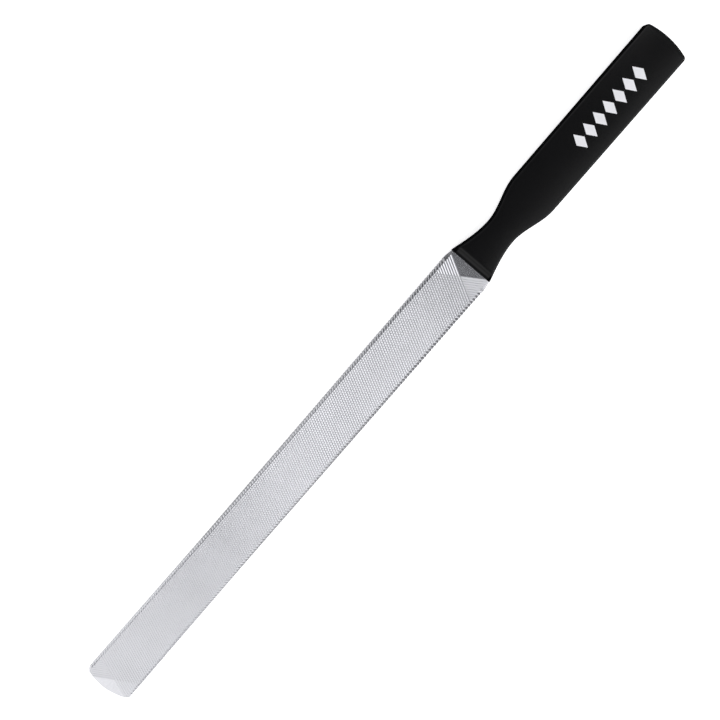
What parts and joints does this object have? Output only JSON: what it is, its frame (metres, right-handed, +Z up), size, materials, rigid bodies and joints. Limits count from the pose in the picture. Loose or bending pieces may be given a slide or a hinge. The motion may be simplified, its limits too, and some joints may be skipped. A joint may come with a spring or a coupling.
{
  "type": "flat file",
  "caption": "Thin flat steel file with crossed teeth on its faces and toothed bevelled edges, held in a waisted moulded plastic handle.",
  "frame": {"origin": "middle of the object's footprint, level with the underside of the handle", "axes": "+X from the blade's tip to the handle's end, +Y across the blade, +Z up out of the upper face"},
  "size_m": [0.185, 0.0116, 0.0032],
  "materials": {
    "file_steel": "cut teeth, lightly polished",
    "handle_plastic": "fine satin moulded",
    "mark_ink": "pad-printed ink"
  },
  "bodies": {
    "root": {"blade": "file_steel", "handle": "handle_plastic", "printed_mark": "mark_ink"}
  },
  "joints": []
}
